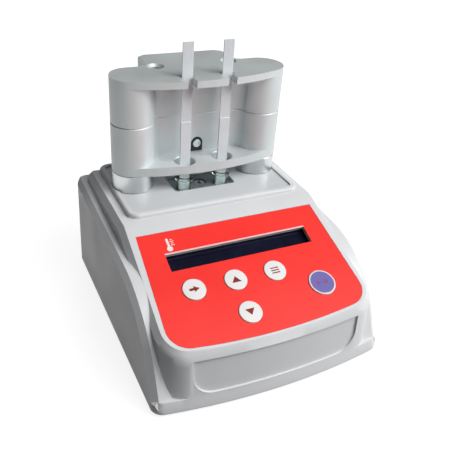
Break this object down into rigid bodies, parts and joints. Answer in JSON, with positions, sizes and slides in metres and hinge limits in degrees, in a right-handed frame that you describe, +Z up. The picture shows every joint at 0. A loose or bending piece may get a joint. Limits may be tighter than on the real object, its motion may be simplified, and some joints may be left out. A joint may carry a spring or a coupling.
{
  "type": "dry-block incubator for two test wells",
  "caption": "Small bench incubator with a sloping red key panel, a heat block for test wells and a raised holder that keeps dipsticks upright.",
  "frame": {"origin": "on the bench, under the middle of the case", "axes": "+Z up, -Y towards the user and the control panel, +X to the user's right"},
  "size_m": [0.102, 0.117, 0.1148],
  "materials": {
    "case_plastic": "light warm grey, fine satin",
    "plate_plastic": "light grey, smooth",
    "overlay_red": "bright red printed film",
    "key_white": "white key with a printed dark red symbol",
    "key_start": "blue-violet key with a pale ring",
    "display_glass": "dark navy display",
    "display_metal": "plain",
    "board_green": "circuit board",
    "part_black": "black, satin",
    "steel": "bright zinc",
    "post_aluminium": "turned, satin",
    "holder_aluminium": "bead-blasted, silver grey",
    "block_metal": "dark anodised",
    "heater_orange": "heating film",
    "carrier_plastic": "black, heat-resistant",
    "clear_plastic": "clear",
    "strip_white": "white, slightly translucent",
    "rubber": "matt",
    "lens_silver": "bright"
  },
  "bodies": {
    "case": {"housing": "case_plastic", "base_plate": "case_plastic", "rubber_feet": "rubber", "base_screws": "steel", "control_overlay": "overlay_red", "key_switches": "part_black", "keypad_board": "board_green", "keypad_screws": "steel", "lcd_frame": "display_metal", "lcd_glass": "display_glass", "lcd_backlight": "part_black", "lcd_board": "board_green", "lcd_screws": "steel", "deck_plate": "plate_plastic", "deck_screws": "steel", "heat_block": "block_metal", "heater_pad": "heater_orange", "temperature_probe": "steel", "block_carrier": "carrier_plastic", "carrier_screws": "steel", "block_screw": "steel", "left_post": "post_aluminium", "right_post": "post_aluminium", "post_screws": "steel", "lower_holder": "holder_aluminium", "upper_holder": "holder_aluminium", "holder_screws": "steel", "locating_pins": "steel", "strip_sensor": "part_black", "sensor_lens": "lens_silver", "control_board": "board_green", "board_screws": "steel", "dc_inlet": "part_black", "inlet_nut": "steel", "switch_frame": "part_black"},
    "key_right_body": {"key_right": "key_white"},
    "key_up_body": {"key_up": "key_white"},
    "key_menu_body": {"key_menu": "key_white"},
    "key_down_body": {"key_down": "key_white"},
    "key_start_body": {"key_start": "key_start"},
    "power_rocker_body": {"power_rocker": "part_black"},
    "left_well_body": {"left_well": "clear_plastic"},
    "right_well_body": {"right_well": "clear_plastic"},
    "left_dipstick_body": {"left_dipstick": "strip_white"},
    "right_dipstick_body": {"right_dipstick": "strip_white"}
  },
  "joints": [
    {"name": "key_right_press", "type": "slide", "parent": "case", "child": "key_right_body", "axis": [0, 0.3584, -0.9336], "range_m": [0, 0.0005], "stiffness_N_per_m": 600},
    {"name": "key_up_press", "type": "slide", "parent": "case", "child": "key_up_body", "axis": [0, 0.3584, -0.9336], "range_m": [0, 0.0005], "stiffness_N_per_m": 600},
    {"name": "key_menu_press", "type": "slide", "parent": "case", "child": "key_menu_body", "axis": [0, 0.3584, -0.9336], "range_m": [0, 0.0005], "stiffness_N_per_m": 600},
    {"name": "key_down_press", "type": "slide", "parent": "case", "child": "key_down_body", "axis": [0, 0.3584, -0.9336], "range_m": [0, 0.0005], "stiffness_N_per_m": 600},
    {"name": "key_start_press", "type": "slide", "parent": "case", "child": "key_start_body", "axis": [0, 0.3584, -0.9336], "range_m": [0, 0.0005], "stiffness_N_per_m": 600},
    {"name": "power_rocker_tilt", "type": "hinge", "parent": "case", "child": "power_rocker_body", "pos_m": [-0.02, 0.055, 0.0215], "axis": [0, 0, 1], "range_deg": [0, 14]},
    {"name": "left_well_lift", "type": "slide", "parent": "case", "child": "left_well_body", "axis": [0, 0, 1], "range_m": [0, 0.02]},
    {"name": "left_dipstick_lift", "type": "slide", "parent": "left_well_body", "child": "left_dipstick_body", "axis": [0, 0, 1], "range_m": [0, 0.06]},
    {"name": "right_well_lift", "type": "slide", "parent": "case", "child": "right_well_body", "axis": [0, 0, 1], "range_m": [0, 0.02]},
    {"name": "right_dipstick_lift", "type": "slide", "parent": "right_well_body", "child": "right_dipstick_body", "axis": [0, 0, 1], "range_m": [0, 0.06]}
  ]
}
